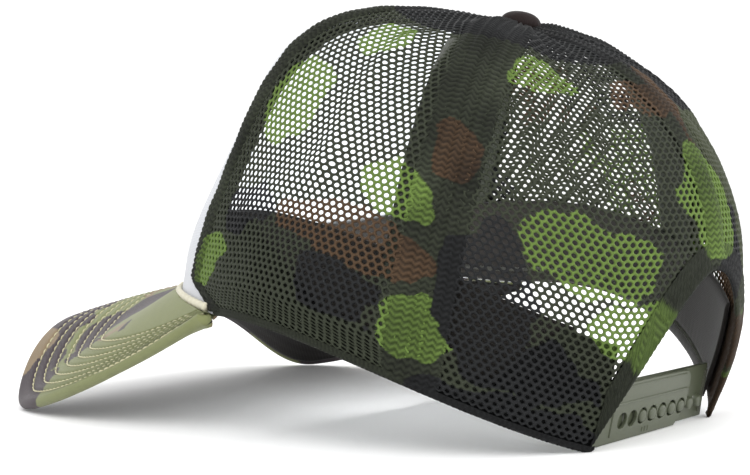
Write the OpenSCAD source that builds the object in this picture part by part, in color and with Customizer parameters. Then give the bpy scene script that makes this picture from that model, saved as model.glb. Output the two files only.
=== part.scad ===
// Trucker mesh cap: foam-fronted crown, four mesh panels, curved visor and
// a plastic snap strap. It stands as it rests on a table, on the two front
// corners of the visor and the two lower corners beside the strap.
// +Z is up, the visor points to -Y and the wearer's left is +X.

/* [Crown] */
// Half the width of the crown at its lower edge
hem_half_w = 94.5; // [88:0.5:98]
// Length of the lower edge in front of its widest point
hem_front = 95.5; // [90:0.5:98]
// Length of the lower edge behind its widest point, before the strap cuts it off
hem_back = 82.5; // [80:0.5:88]
// How far the lower edge rises from the strap to the temple
hem_lift = 40; // [36:0.5:42]
// Bow of the lower edge, above a straight line
hem_bow = 16; // [12:0.5:18]
// Further rise of the lower edge over the forehead
brow_rise = 7; // [5:0.5:12]
// Height of the crown's top, where the panels meet
top_h = 136; // [128:1:140]

/* [Cloth] */
// Thickness of the knitted mesh
mesh_t = 0.8; // [0.6:0.1:1]
// Thickness of the white front cloth
face_t = 0.7; // [0.5:0.1:0.8]
// Thickness of the foam behind the front cloth
foam_t = 2.6; // [2:0.1:3]
// Thickness of the tape over a seam
tape_t = 0.6; // [0.5:0.1:0.8]
// Width of the tape over the side seams
side_tape_w = 20; // [14:1:22]
// Width of the tape over the other seams
seam_tape_w = 11; // [8:1:13]
// Height of the sweatband
sweatband_h = 36; // [32:1:38]
// Thickness of the sweatband
sweatband_t = 1.4; // [1:0.1:1.6]

/* [Visor] */
// Half the width of the visor
visor_half_w = 90; // [87:0.5:92]
// Length of the visor, from the line between its ends to its tip
visor_len = 145; // [136:1:150]
// Height of the visor's tip above the table
visor_tip_h = 32; // [28:1:36]
// Thickness of the stiff board inside the visor
board_t = 2.6; // [2:0.1:3]
// Thickness of each cloth cover of the visor
cover_t = 0.9; // [0.6:0.1:1]
// Rows of stitching on the visor
stitch_rows = 7; // [4:1:8]

/* [Strap] */
// Half the width of the opening above the strap, at the lower edge
opening_half_w = 38.5; // [36:0.5:40]
// Height of the opening at the centre of the back
opening_h = 56; // [50:1:60]
// Height of each strap
strap_h = 19; // [17:0.5:20]
// Thickness of each strap
strap_t = 1.3; // [1.2:0.1:1.4]
// Distance between two neighbouring holes
hole_pitch = 6.2; // [6:0.1:7]
// Diameter of a hole
hole_d = 4.8; // [4.6:0.1:5]
// Number of holes, and of pegs
hole_count = 7; // [6:1:7]
// Diameter of the covered button on top
button_d = 14; // [12:0.5:16]

/* [Hidden] */
frame_y = 40.4;               // puts the middle of the cap's length at Y = 0
mid_y = 1.1;                  // the lower edge is widest here
front_exp = 2.04;             // roundness of the lower edge in front, 2 is an ellipse
back_exp = 1.96;              // and behind
lift_ref_y = -55;             // the lower edge has risen by hem_lift here
foot_z = 22.6;                // the crown's sections shrink towards a line from here
top_y = 28.3;                 // to the top
boxy_front = 6;               // squareness of the crown's outline, by direction
boxy_side = 2.12;
boxy_back = 2.8;
lean_front = 0.24;            // how far the front leans back, as a share of its depth
bulge_side = -0.05;           // how far the crown stands out at half height
bulge_back = 0.1;
button_clear = 0.968;         // the panels end here, under the button
seam_a = -22;                 // the front seam starts here, at the visor's end
side_a = 27;                  // and the side seam here
visor_exp = 4.6;              // squareness of the visor's outline
visor_camber = 2;             // the visor is this much fuller than flat
visor_margin = 9;             // from the visor's edge to the first row of stitches
row_gap = 6.5;                // between two rows
strap_tilt = 14;              // the straps lean back with the crown
strap_gap = 0.35;             // between the two straps
hinge_x = 32.5;               // the straps start to flex here
tab_len = 6;                  // the sewn end of a strap goes in this far past hinge_x
strap_end = 23;               // the outer strap ends this far past the middle
peg_d = 4;
hole_z = 6.6;                 // height of the holes on the strap
layer_gap = 0.15;             // between two layers of cloth
floor_gap = 0.5;              // the straps clear the table by this

// ---- curves and surfaces ----

function spow(v, p) = sign(v) * pow(abs(v), p);
function hem_exp(a) = 2 / (sin(a) < 0 ? front_exp : back_exp);
function hem_len(a) = sin(a) < 0 ? hem_front : hem_back;
function hem_x(a) = hem_half_w * spow(cos(a), hem_exp(a));
function hem_y(a) = mid_y + hem_len(a) * spow(sin(a), hem_exp(a));

// Angle round the crown at which the rear half of the lower edge is at x
function rear_a(x) = acos(pow(x / hem_half_w, back_exp / 2));
corner_a = rear_a(opening_half_w);
corner_y = hem_y(corner_a);

// Height of the lower edge at y, and its height over the forehead
function lift_u(y) = (corner_y - min(y, corner_y)) / (corner_y - lift_ref_y);
function side_z(y) = hem_lift * lift_u(y) + 4 * hem_bow * lift_u(y) * (1 - lift_u(y));
function brow_z(a) = side_z(hem_y(seam_a)) + brow_rise * (1 - pow(hem_x(a) / hem_x(seam_a), 2));
function brow_extra(a) = sin(a) < sin(seam_a) ? brow_z(a) - side_z(hem_y(a)) : 0;
function base_pt(a) = [hem_x(a), hem_y(a), side_z(hem_y(a))];

axis_foot = [0, mid_y, foot_z];
axis_top = [0, top_y, top_h];
axis_len = norm(axis_top - axis_foot);

function front_share(a) = sin(a) < 0 ? pow(sin(a), 2) : 0;
function back_share(a) = sin(a) > 0 ? pow(sin(a), 2) : 0;
function boxy(a) = boxy_front * front_share(a) + boxy_side * pow(cos(a), 2)
    + boxy_back * back_share(a) + corner_boxy * corner_bell(a);
function bulge(a) = bulge_side * pow(cos(a), 2) + bulge_back * back_share(a);

// The corners beside the forehead are fuller than the rest, most of all just above the lower edge
corner_f = -50.5;              // the direction of a corner
corner_spread = 16.5;          // and how far it spreads
corner_full = 0.03;            // how far it stands out, as a share of the crown's depth
brow_full = 0.064;             // and how much further at the brow
brow_t = 0.146;
brow_spread = 0.154;
corner_boxy = 0.9;
function bell(x) = exp(-x * x);
function corner_bell(a) = bell((asin(sin(a)) - corner_f) / corner_spread);
function fullness(a, t) =
    corner_bell(a) * (corner_full + brow_full * bell((t - brow_t) / brow_spread));

// The front seam leans forward above the lower edge, and the cloth on both sides with it
seam_lean = 16;
seam_lean_t = 0.06;            // the lean is complete from here up
function seam_rise(t) = let (u = min(t / seam_lean_t, 1)) u * u * (3 - 2 * u);
function seam_share(a) = let (f = asin(sin(a)))
    f < seam_a ? (f + 90) / (90 + seam_a) : max(side_a - f, 0) / (side_a - seam_a);
function leaned(a, t) = a - sign(cos(a)) * seam_lean * seam_rise(t) * seam_share(a);

// The crown's outer face: a is the direction, t goes from the lower edge (0) to the top (1)
function crown_rho(a, t) = pow(pow(cos(90 * t), boxy(a)) + pow(sin(90 * t), boxy(a)), -1 / boxy(a));
function crown_r(a, t, h) = crown_rho(a, t) * cos(90 * t)
    * (1 + bulge(a) * 4 * h * (1 - h) - lean_front * front_share(a) * h + fullness(a, t));
function crown_mix(a, r, h) = axis_foot + (base_pt(a) - axis_foot) * r
    + (axis_top - axis_foot) * h + [0, 0, brow_extra(a) * r * pow(1 - h, 2)];
function crown_at(a, t, h) = crown_mix(a, crown_r(a, t, h), h);
function crown_plain(a, t) = crown_at(a, t, crown_rho(a, t) * sin(90 * t));
function crown_pt(a, t) = crown_plain(leaned(a, t), t);
function unit(v) = v / norm(v);
function crown_normal(a, t) = unit(cross(
    crown_pt(a + 0.5, t) - crown_pt(a - 0.5, t),
    crown_pt(a, min(t + 0.005, 1)) - crown_pt(a, max(t - 0.005, 0))));
function crown_off(a, t, d) = crown_pt(a, t) + crown_normal(a, t) * d;

// The t at which the crown is the height h above its lower edge
function t_at(a, h) = atan2(h / axis_len,
    pow(1 - pow(h / axis_len, boxy(a)), 1 / boxy(a))) / 90;

// Edge of the rear opening: an arch over the strap
function arch_h(a) = abs(a - 90) < 90 - corner_a
    ? opening_h * (1 - pow((a - 90) / (90 - corner_a), 2)) : 0;
function lower_t(a) = t_at(a, arch_h(a));

function steps(a0, a1, n) = [for (i = [0:n]) a0 + (a1 - a0) * i / n];

// ---- general solids ----

// A closed solid between two grids of points with the same rows and columns.
// Columns go round to the left as seen from outside, rows go up.
module slab(outer, inner) {
    nc = len(outer);
    nr = len(outer[0]);
    points = [for (g = [inner, outer]) for (col = g) for (p = col) p];
    function n(i, j) = i * nr + j;
    function o(i, j) = (nc + i) * nr + j;
    quads = concat(
        [for (i = [0:nc - 2]) for (j = [0:nr - 2])
            [o(i, j), o(i, j + 1), o(i + 1, j + 1), o(i + 1, j)]],
        [for (i = [0:nc - 2]) for (j = [0:nr - 2])
            [n(i, j), n(i + 1, j), n(i + 1, j + 1), n(i, j + 1)]],
        [for (j = [0:nr - 2]) [o(0, j + 1), o(0, j), n(0, j), n(0, j + 1)]],
        [for (j = [0:nr - 2])
            [o(nc - 1, j), o(nc - 1, j + 1), n(nc - 1, j + 1), n(nc - 1, j)]],
        [for (i = [0:nc - 2]) [o(i, 0), o(i + 1, 0), n(i + 1, 0), n(i, 0)]],
        [for (i = [0:nc - 2])
            [o(i + 1, nr - 1), o(i, nr - 1), n(i, nr - 1), n(i + 1, nr - 1)]]);
    faces = [for (q = quads) each [[q[0], q[1], q[2]], [q[0], q[2], q[3]]]];
    polyhedron(points = points, faces = faces, convexity = 6);
}

// A piece of the crown: columns at the angles cols, rows from t_lo to t_hi
module crown_slab(cols, t_lo, t_hi, rows, d_in, d_out) {
    function grid(d) = [for (i = [0:len(cols) - 1])
        [for (t = steps(t_lo[i], t_hi[i], rows)) crown_off(cols[i], t, d)]];
    slab(grid(d_out), grid(d_in));
}

// A thread: a thin square bar along the points of a path
module thread(path, size, up) {
    last = len(path) - 1;
    function side(i) = unit(cross(path[min(i + 1, last)] - path[max(i - 1, 0)], up));
    function ring(i, v) = [for (h = [-size / 2, size / 2]) path[i] + side(i) * h + up * v];
    slab([for (i = [0:last]) ring(i, size / 2)], [for (i = [0:last]) ring(i, -size / 2)]);
}

module placed() {
    translate([0, frame_y, 0]) children();
}

// ---- crown ----

function same(value, list) = [for (x = list) value];

module front_layer(d_in, d_out) {
    cols = steps(-180 - seam_a, seam_a, 30);
    placed() crown_slab(cols, same(0, cols), same(button_clear, cols), 22, d_in, d_out);
}

module front_panel_face() {
    color([0.93, 0.94, 0.95]) front_layer(-face_t, 0);
}

module front_panel_foam() {
    color([0.86, 0.89, 0.92])
        front_layer(-face_t - layer_gap - foam_t, -face_t - layer_gap);
}

// A gap of half a degree shows where two panels meet
seam_gap_a = 0.4;

module side_mesh() {
    cols = steps(seam_a + seam_gap_a, side_a - seam_gap_a, 8);
    color([0.45, 0.52, 0.3]) placed()
        crown_slab(cols, same(0, cols), same(button_clear, cols), 20, -mesh_t, 0);
}

module rear_mesh() {
    cols = concat(steps(side_a + seam_gap_a, corner_a, 7),
        [for (s = [1:8]) 90 - (90 - corner_a) * cos(90 * s / 8) - (s == 8 ? seam_gap_a : 0)]);
    lo = [for (a = cols) lower_t(a)];
    color([0.4, 0.47, 0.28]) placed()
        crown_slab(cols, lo, same(button_clear, cols), 18, -mesh_t, 0);
}

module left_side_mesh() {
    side_mesh();
}

module right_side_mesh() {
    mirror([1, 0, 0]) side_mesh();
}

module left_rear_mesh() {
    rear_mesh();
}

module right_rear_mesh() {
    mirror([1, 0, 0]) rear_mesh();
}

// Tape inside a seam that goes up to the button at the angle a.
// Its width narrows as the panels come together.
module seam_tape(a, width, t_lo, d_out) {
    ts = steps(t_lo, button_clear, 20);
    half_a = [for (t = ts) width / 2 * 180 / PI / max(norm(crown_pt(a, t) - axis_top), width)];
    outer = [for (s = [-1, 0, 1]) [for (k = [0:20]) crown_off(a + s * half_a[k], ts[k], d_out)]];
    inner = [for (s = [-1, 0, 1])
        [for (k = [0:20]) crown_off(a + s * half_a[k], ts[k], d_out - tape_t)]];
    color([0.2, 0.22, 0.17]) placed() slab(outer, inner);
}

tape_gap = 0.3;               // between a panel and the tape inside it
side_tape_d = -mesh_t - tape_gap;
front_tape_d = -face_t - layer_gap - foam_t - tape_gap;
tape_start_t = 0.01;

module left_front_seam_tape() {
    seam_tape(seam_a, seam_tape_w, tape_start_t, front_tape_d);
}

module right_front_seam_tape() {
    mirror([1, 0, 0]) left_front_seam_tape();
}

module left_side_seam_tape() {
    seam_tape(side_a, side_tape_w, tape_start_t, side_tape_d);
}

module right_side_seam_tape() {
    mirror([1, 0, 0]) left_side_seam_tape();
}

module rear_centre_seam_tape() {
    seam_tape(90, seam_tape_w, t_at(90, opening_h + 9), side_tape_d);
}

// Folded binding along the arch of the opening, on the inside of the mesh
binding_w = 8;
binding_d = side_tape_d - 0.2;
binding_end = 8;              // it stops this far, in degrees of the arch, above the straps

module opening_binding() {
    arch = [for (s = steps(binding_end, 180 - binding_end, 32))
        90 - (90 - corner_a) * cos(s)];
    function t_row(a, k) = t_at(a, arch_h(a) + binding_w * k);
    outer = [for (a = arch) [for (k = [0, 1]) crown_off(a, t_row(a, k), binding_d)]];
    inner = [for (a = arch) [for (k = [0, 1]) crown_off(a, t_row(a, k), binding_d - tape_t)]];
    color([0.2, 0.22, 0.17]) placed() slab(outer, inner);
}

// The sweatband clears the foam in front and the tapes behind it
band_end_a = corner_a - 7;
band_gap = 0.7;
function band_d(a) = let (f = min(max((abs(a + 90) - 68) / 12, 0), 1))
    (front_tape_d - tape_t - band_gap) * (1 - f) + (binding_d - tape_t - band_gap) * f;
band_cols = steps(-180 - band_end_a, band_end_a, 60);
band_rows = 6;
band_stitch_h = 6;            // the row of stitches above the lower edge
band_stitch_w = 0.8;
band_stitch_gap = 0.45;

module sweatband() {
    function grid(d) = [for (a = band_cols)
        [for (h = steps(1, sweatband_h, band_rows)) crown_off(a, t_at(a, h), band_d(a) + d)]];
    color([0.16, 0.15, 0.13]) placed() slab(grid(0), grid(-sweatband_t));
}

// The row of stitches that holds the sweatband's upper fold
module sweatband_stitching() {
    function at(a, h, d) = crown_off(a, t_at(a, h), band_d(a) - sweatband_t - d);
    function grid(d) = [for (a = band_cols)
        [for (h = [band_stitch_h, band_stitch_h + band_stitch_w]) at(a, h, d)]];
    color([0.3, 0.3, 0.25]) placed() slab(grid(band_stitch_gap), grid(band_stitch_gap + 0.4));
}

// ---- visor ----

// The visor's outline: q goes from one end (-1) over the tip (0) to the other end (1)
visor_y = hem_y(seam_a);
visor_z = side_z(visor_y);
function rim_x(q) = visor_half_w * spow(sin(90 * q), 2 / visor_exp);
function rim_y(q) = visor_y - visor_len * spow(cos(90 * q), 2 / visor_exp);
rim_sink = 0.65;                // the rolled rim hangs over the board by this much less
rim_rest_z = board_t / 2 + cover_t - rim_sink;
rim_fall_exp = 1.45;
// The rim falls from the end to the table and rises to the tip
rim_corner = 50;              // 90 * q where the rim touches the table
corner_share = pow(cos(rim_corner), 2 / visor_exp);
function rim_fall(q) = abs(90 * q) < rim_corner ? 0 : (visor_z - rim_rest_z)
    * pow(1 - pow(abs(cos(90 * q)), 2 / visor_exp) / corner_share, rim_fall_exp);
function rim_arch(q) = abs(90 * q) > rim_corner ? 0 : (visor_tip_h - rim_rest_z)
    * pow(cos(90 * 90 * q / rim_corner), 2);
function rim_z(q) = rim_rest_z + rim_fall(q) + rim_arch(q);
function rim_pt(q) = [rim_x(q), rim_y(q), rim_z(q)];

function root_a(q) = -90 + (90 + seam_a) * q;
root_clear = 1.2;             // the visor starts this far outside and below the crown's edge
function root_pt(q) = crown_off(root_a(q), 0, root_clear) - [0, 0, root_clear];
// s goes from the crown (0) to the rim (1)
function visor_mid(q, s) = root_pt(q) + (rim_pt(q) - root_pt(q)) * s
    + [0, 0, visor_camber * 4 * s * (1 - s) * cos(90 * q)];
function visor_normal(q, s) = unit(cross(
    visor_mid(min(q + 0.01, 0.999), s) - visor_mid(max(q - 0.01, -0.999), s),
    visor_mid(q, max(s - 0.02, 0)) - visor_mid(q, min(s + 0.02, 1))));
function visor_pt(q, s, d) = visor_mid(q, s) + visor_normal(q, s) * d;

visor_end_q = 0.985;
visor_q = [for (i = [-20:20]) sin(90 * i / 20) * visor_end_q];
visor_rows = 7;

module visor_layer(d_lo, d_hi, inset) {
    function s_edge(q) = 1 - inset / max(norm(rim_pt(q) - root_pt(q)), 4 * inset + 0.01);
    function grid(d) = [for (q = visor_q)
        [for (s = steps(s_edge(q), 0.01, visor_rows)) visor_pt(q, s, d)]];
    placed() slab(grid(d_hi), grid(d_lo));
}

module visor_board() {
    color([0.75, 0.75, 0.72]) visor_layer(-board_t / 2, board_t / 2, 1.5);
}

module visor_top_cloth() {
    color([0.5, 0.52, 0.38])
        visor_layer(board_t / 2 + 0.05, board_t / 2 + cover_t, 0);
}

module visor_under_cloth() {
    color([0.12, 0.11, 0.1])
        visor_layer(-board_t / 2 - cover_t, -board_t / 2 - 0.05, 0);
}

// Rows of stitches that follow the rim inwards
thread_t = 0.6;
row_end_q = 0.96;
row_steps = 22;

module visor_stitching() {
    function inward(q, k) = 1 - (visor_margin + row_gap * k)
        / max(norm(rim_pt(q) - root_pt(q)), 1);
    function kept(k) = [for (i = [-row_steps:row_steps]) let (q = i / row_steps * row_end_q)
        if (inward(q, k) > 0.04) q];
    color([0.85, 0.83, 0.72]) placed()
        for (k = [0:stitch_rows - 1]) {
            path = [for (q = kept(k))
                visor_pt(q, inward(q, k), board_t / 2 + cover_t + layer_gap + thread_t / 2)];
            thread(path, thread_t, [0, 0, 1]);
        }
}

// Piping over the seam between the front panel and the visor
piping_d = 1.4;
piping_end_q = 0.98;
piping_t = 0.02;                // it lies this high on the crown

module visor_seam_piping() {
    qs = steps(-piping_end_q, piping_end_q, 40);
    path = [for (q = qs) crown_off(root_a(q), piping_t, piping_d / 2 + 0.4)];
    color([0.85, 0.84, 0.78]) placed() thread(path, piping_d, [0, 0, 1]);
}

// ---- button ----

top_normal = unit(axis_top - axis_foot);
top_lean = acos(top_normal[2]);

module on_top(h) {
    placed() translate(axis_top + top_normal * h) rotate([-top_lean, 0, 0]) children();
}

button_h = 4;
button_lift = 1.2;            // the button's underside above the point where the panels meet
rivet_r = 1.4;
rivet_len = 7.2;              // from the button's underside to the washer's
washer_d = 11;
washer_t = 0.8;
rivet_fit = 0.05;

module button_cap() {
    color([0.16, 0.14, 0.14]) on_top(button_lift)
        rotate_extrude($fn = 48) {
            difference() {
                scale([1, button_h / (button_d / 2)]) circle(d = button_d, $fn = 64);
                translate([-button_d, -button_d]) square([button_d, 2 * button_d]);
                translate([0, -button_d]) square([button_d, button_d]);
                square([rivet_r + rivet_fit, button_h / 2]);
            }
        }
}

module button_rivet() {
    color([0.6, 0.6, 0.6]) on_top(button_lift - rivet_len)
        cylinder(r = rivet_r, h = rivet_len + button_h / 2 - 0.1, $fn = 32);
}

module button_washer() {
    color([0.6, 0.6, 0.6]) on_top(button_lift - rivet_len) difference() {
        cylinder(d = washer_d, h = washer_t, $fn = 48);
        translate([0, 0, -washer_t]) cylinder(r = rivet_r + rivet_fit, h = 3 * washer_t, $fn = 32);
    }
}

// ---- strap ----

strap_y = corner_y - 3.2;

module on_strap() {
    placed() translate([0, strap_y, floor_gap]) rotate([-strap_tilt, 0, 0]) children();
}

// Upright plate from x0 to x1: its outline lies in X and Z
module plate(outline, y0) {
    translate([0, y0 + strap_t, 0]) rotate([90, 0, 0]) linear_extrude(strap_t)
        polygon(outline);
}

corner_r = 4;
function arc_pts(cx, cz, r, a0, a1) = [for (i = [0:8])
    let (a = a0 + (a1 - a0) * i / 8) [cx + r * cos(a), cz + r * sin(a)]];

outer_y0 = strap_gap / 2;
inner_y0 = -strap_gap / 2 - strap_t;
first_hole_x = 18;

module hole_strap() {
    outline = concat(
        [[hinge_x + tab_len, 0], [hinge_x + tab_len - 2, strap_h]],
        arc_pts(-strap_end + corner_r, strap_h - corner_r, corner_r, 90, 180),
        [[-strap_end, 6.5], [-strap_end + 6, 0]]);
    color([0.34, 0.36, 0.3]) on_strap() difference() {
        plate(outline, outer_y0);
        for (i = [0:hole_count - 1])
            translate([first_hole_x - i * hole_pitch, 0, hole_z]) rotate([-90, 0, 0])
                cylinder(d = hole_d, h = 3 * strap_t, $fn = 32);
    }
}

peg_len = strap_gap + strap_t + 0.5;

module peg_strap() {
    outline = concat(
        [[-hinge_x - tab_len + 2, strap_h], [-hinge_x - tab_len, 0]],
        [[first_hole_x - 2, 0], [first_hole_x + 4, 6.5]],
        arc_pts(first_hole_x + 4 - corner_r, strap_h - corner_r, corner_r, 0, 90));
    color([0.36, 0.38, 0.31]) on_strap() {
        plate(outline, inner_y0);
        for (i = [0:hole_count - 1])
            translate([first_hole_x - (i + 2) * hole_pitch, inner_y0 + strap_t, hole_z])
                rotate([-90, 0, 0]) cylinder(d = peg_d, h = peg_len, $fn = 32);
    }
}

// Bar stitches that hold a strap's sewn end to the rear panel
module strap_stitches(y0) {
    color([0.3, 0.31, 0.25]) on_strap()
        for (i = [0:4])
            translate([hinge_x + 3, y0, 3 + i * 3]) cube([0.8, 0.5, 2]);
}

module left_strap_stitches() {
    strap_stitches(outer_y0 + strap_t + 0.05);
}

module right_strap_stitches() {
    mirror([1, 0, 0]) strap_stitches(inner_y0 + strap_t + 0.05);
}

front_panel_face();
front_panel_foam();
left_side_mesh();
left_rear_mesh();
right_side_mesh();
right_rear_mesh();
left_front_seam_tape();
right_front_seam_tape();
left_side_seam_tape();
right_side_seam_tape();
rear_centre_seam_tape();
opening_binding();
sweatband();
sweatband_stitching();
visor_board();
visor_top_cloth();
visor_under_cloth();
visor_stitching();
visor_seam_piping();
button_cap();
button_rivet();
button_washer();
hole_strap();
peg_strap();
left_strap_stitches();
right_strap_stitches();
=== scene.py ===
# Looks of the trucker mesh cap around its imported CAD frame. Lengths are in millimetres
# until a mesh is made, and the row frame is in metres.
import itertools
import math

import bpy
import numpy as np
from mathutils import Matrix, Vector


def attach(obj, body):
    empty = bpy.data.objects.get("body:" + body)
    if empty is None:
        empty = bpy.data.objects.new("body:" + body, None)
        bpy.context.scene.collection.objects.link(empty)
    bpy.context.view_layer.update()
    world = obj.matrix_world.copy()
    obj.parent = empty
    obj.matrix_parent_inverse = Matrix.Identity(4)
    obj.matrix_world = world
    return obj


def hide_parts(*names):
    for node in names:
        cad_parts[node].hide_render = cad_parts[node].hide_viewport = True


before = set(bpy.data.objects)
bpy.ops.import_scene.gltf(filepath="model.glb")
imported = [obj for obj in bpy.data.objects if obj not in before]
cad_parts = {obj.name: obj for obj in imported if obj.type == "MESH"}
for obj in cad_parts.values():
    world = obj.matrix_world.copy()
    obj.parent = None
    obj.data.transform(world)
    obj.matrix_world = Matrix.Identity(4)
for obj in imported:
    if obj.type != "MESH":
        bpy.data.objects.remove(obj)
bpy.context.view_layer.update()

MM = 0.001

# ---- sizes, as in the design
HEM_HALF_W, HEM_FRONT, HEM_BACK = 94.5, 95.5, 82.5
HEM_LIFT, HEM_BOW, BROW_RISE, TOP_H = 40, 16, 7, 136
FRAME_Y, MID_Y, FOOT_Z, TOP_Y = 40.4, 1.1, 22.6, 28.3
FRONT_EXP, BACK_EXP, LIFT_REF_Y = 2.04, 1.96, -55
BOXY_FRONT, BOXY_SIDE, BOXY_BACK = 6, 2.12, 2.8
LEAN_FRONT, BULGE_SIDE, BULGE_BACK = 0.24, -0.05, 0.1
SEAM_A, SEAM_LEAN, SEAM_LEAN_T, SIDE_A, TOP_T = -22, 16, 0.06, 27, 0.968
CORNER_F, CORNER_SPREAD, CORNER_FULL, CORNER_BOXY = -50.5, 16.5, 0.03, 0.9
BROW_FULL, BROW_T, BROW_SPREAD = 0.064, 0.146, 0.154
OPENING_HALF_W, OPENING_H = 38.5, 56
FACE_T, FOAM_T, MESH_T, TAPE_T = 0.7, 2.6, 0.8, 0.6
BAND_H, BAND_T, BAND_GAP = 36, 1.4, 0.7
GLUE_GAP, LAYER_GAP = 0.15, 0.3
FRONT_TAPE_D = -FACE_T - GLUE_GAP - FOAM_T - LAYER_GAP
SIDE_TAPE_D = -MESH_T - LAYER_GAP
VISOR_HALF_W, VISOR_LEN, VISOR_TIP_H, VISOR_EXP = 90, 145, 32, 4.6
VISOR_CAMBER, RIM_CORNER, RIM_FALL_EXP = 2, 50, 1.45
BOARD_T, COVER_T, ROOT_CLEAR, REST_SINK = 2.6, 0.9, 1.2, 0.65
STITCH_ROWS, VISOR_MARGIN, ROW_GAP = 7, 9, 6.5
STRAP_H, STRAP_T, STRAP_GAP, STRAP_TILT, STRAP_BACK = 19, 1.3, 0.35, 14, 3.2
HINGE_X, TAB_LEN, STRAP_END, FLOOR_GAP = 32.5, 6, 23, 0.5
HOLE_PITCH, HOLE_D, HOLE_COUNT, HOLE_Z, FIRST_HOLE_X, PEG_D = 6.2, 4.8, 7, 6.6, 18, 4
BUTTON_D, BUTTON_H, BUTTON_LIFT = 14, 4, 1.2

# The knit: holes stand in staggered rows
HOLE_ACROSS, ROW_UP = 2.7, 1.9
HOLE_HALF_W, HOLE_HALF_H = 0.86, 0.70


# ---- the crown's surface
def sind(angle):
    return np.sin(np.radians(angle))


def cosd(angle):
    return np.cos(np.radians(angle))


def signed_power(value, exponent):
    return np.sign(value) * np.abs(value) ** exponent


def hem_x(a):
    exponent = np.where(sind(a) < 0, 2 / FRONT_EXP, 2 / BACK_EXP)
    return HEM_HALF_W * signed_power(cosd(a), exponent)


def hem_y(a):
    front = sind(a) < 0
    exponent = np.where(front, 2 / FRONT_EXP, 2 / BACK_EXP)
    return MID_Y + np.where(front, HEM_FRONT, HEM_BACK) * signed_power(sind(a), exponent)


CORNER_A = math.degrees(math.acos((OPENING_HALF_W / HEM_HALF_W) ** (BACK_EXP / 2)))
CORNER_Y = float(hem_y(CORNER_A))


def side_z(y):
    u = (CORNER_Y - np.minimum(y, CORNER_Y)) / (CORNER_Y - LIFT_REF_Y)
    return HEM_LIFT * u + 4 * HEM_BOW * u * (1 - u)


def brow_extra(a):
    brow = side_z(hem_y(SEAM_A)) + BROW_RISE * (1 - (hem_x(a) / hem_x(SEAM_A)) ** 2)
    return np.where(sind(a) < sind(SEAM_A), brow - side_z(hem_y(a)), 0)


AXIS_FOOT = np.array([0, MID_Y, FOOT_Z])
AXIS_TOP = np.array([0, TOP_Y, TOP_H])
AXIS_LEN = float(np.linalg.norm(AXIS_TOP - AXIS_FOOT))
SHIFT = np.array([0, FRAME_Y, 0])


def shares(a):
    """How much a direction faces the front and the back"""
    s = sind(a)
    return np.where(s < 0, s * s, 0), np.where(s > 0, s * s, 0)


def boxiness(a):
    front, back = shares(a)
    around = BOXY_FRONT * front + BOXY_SIDE * cosd(a) ** 2 + BOXY_BACK * back
    return around + CORNER_BOXY * corner_share(a)


def corner_share(a):
    """The fuller corners beside the forehead"""
    return np.exp(-(((np.degrees(np.arcsin(sind(a))) - CORNER_F) / CORNER_SPREAD) ** 2))


def fullness(a, t):
    return corner_share(a) * (CORNER_FULL + BROW_FULL * np.exp(-(((t - BROW_T) / BROW_SPREAD) ** 2)))


def leaned(a, t):
    """The direction after the front seam's forward lean, which takes the cloth with it"""
    u = np.minimum(t / SEAM_LEAN_T, 1)
    f = np.degrees(np.arcsin(sind(a)))
    ahead, behind = (f + 90) / (90 + SEAM_A), np.maximum(SIDE_A - f, 0) / (SIDE_A - SEAM_A)
    share = np.where(f < SEAM_A, ahead, behind)
    return a - np.sign(cosd(a)) * SEAM_LEAN * u * u * (3 - 2 * u) * share


def crown(a, t):
    """Points on the crown's outer face: a is the direction, t goes from the hem to the top"""
    a, t = np.broadcast_arrays(np.asarray(a, float), np.asarray(t, float))
    a = leaned(a, t)
    n = boxiness(a)
    c, s = np.maximum(cosd(90 * t), 0), np.maximum(sind(90 * t), 0)
    rho = (c**n + s**n) ** (-1 / n)
    h = rho * s
    front, back = shares(a)
    bulge = BULGE_SIDE * cosd(a) ** 2 + BULGE_BACK * back
    r = rho * c * (1 + bulge * 4 * h * (1 - h) - LEAN_FRONT * front * h + fullness(a, t))
    base = np.stack([hem_x(a), hem_y(a), side_z(hem_y(a))], -1)
    points = AXIS_FOOT + (base - AXIS_FOOT) * r[..., None] + (AXIS_TOP - AXIS_FOOT) * h[..., None]
    points[..., 2] += brow_extra(a) * r * (1 - h) ** 2
    return points + SHIFT


def unit(v):
    return v / np.maximum(np.linalg.norm(v, axis=-1, keepdims=True), 1e-9)


def run_along(points):
    """How far along a path each of its points lies"""
    return np.concatenate([[0], np.cumsum(np.linalg.norm(np.diff(points, axis=0), axis=-1))])


def crown_normal(a, t):
    a, t = np.broadcast_arrays(np.asarray(a, float), np.asarray(t, float))
    around = crown(a + 0.5, t) - crown(a - 0.5, t)
    upward = crown(a, np.minimum(t + 0.005, 1)) - crown(a, np.maximum(t - 0.005, 0))
    return unit(np.cross(around, upward))


def t_at(a, h):
    """The t at which the crown is h above its hem"""
    n = boxiness(a)
    share = np.clip(np.asarray(h, float) / AXIS_LEN, 0, 1)
    return np.degrees(np.arctan2(share, (1 - share**n) ** (1 / n))) / 90


def arch_h(a):
    u = (np.asarray(a, float) - 90) / (90 - CORNER_A)
    return np.where(np.abs(u) < 1, OPENING_H * (1 - u * u), 0)


# ---- noise and camouflage
def noise(points, size, seed):
    """Smooth noise from 0 to 1 with features of about this size, the same each run"""
    table = np.random.default_rng(seed).random((32, 32, 32))
    q = np.asarray(points, float) / size
    low = np.floor(q).astype(int)
    f = q - low
    f = f * f * (3 - 2 * f)
    total = 0
    for corner in itertools.product((0, 1), repeat=3):
        i, j, k = ((low[..., n] + d) % 32 for n, d in enumerate(corner))
        weight = 1
        for n, d in enumerate(corner):
            weight = weight * (f[..., n] if d else 1 - f[..., n])
        total = total + weight * table[i, j, k]
    return total


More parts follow.
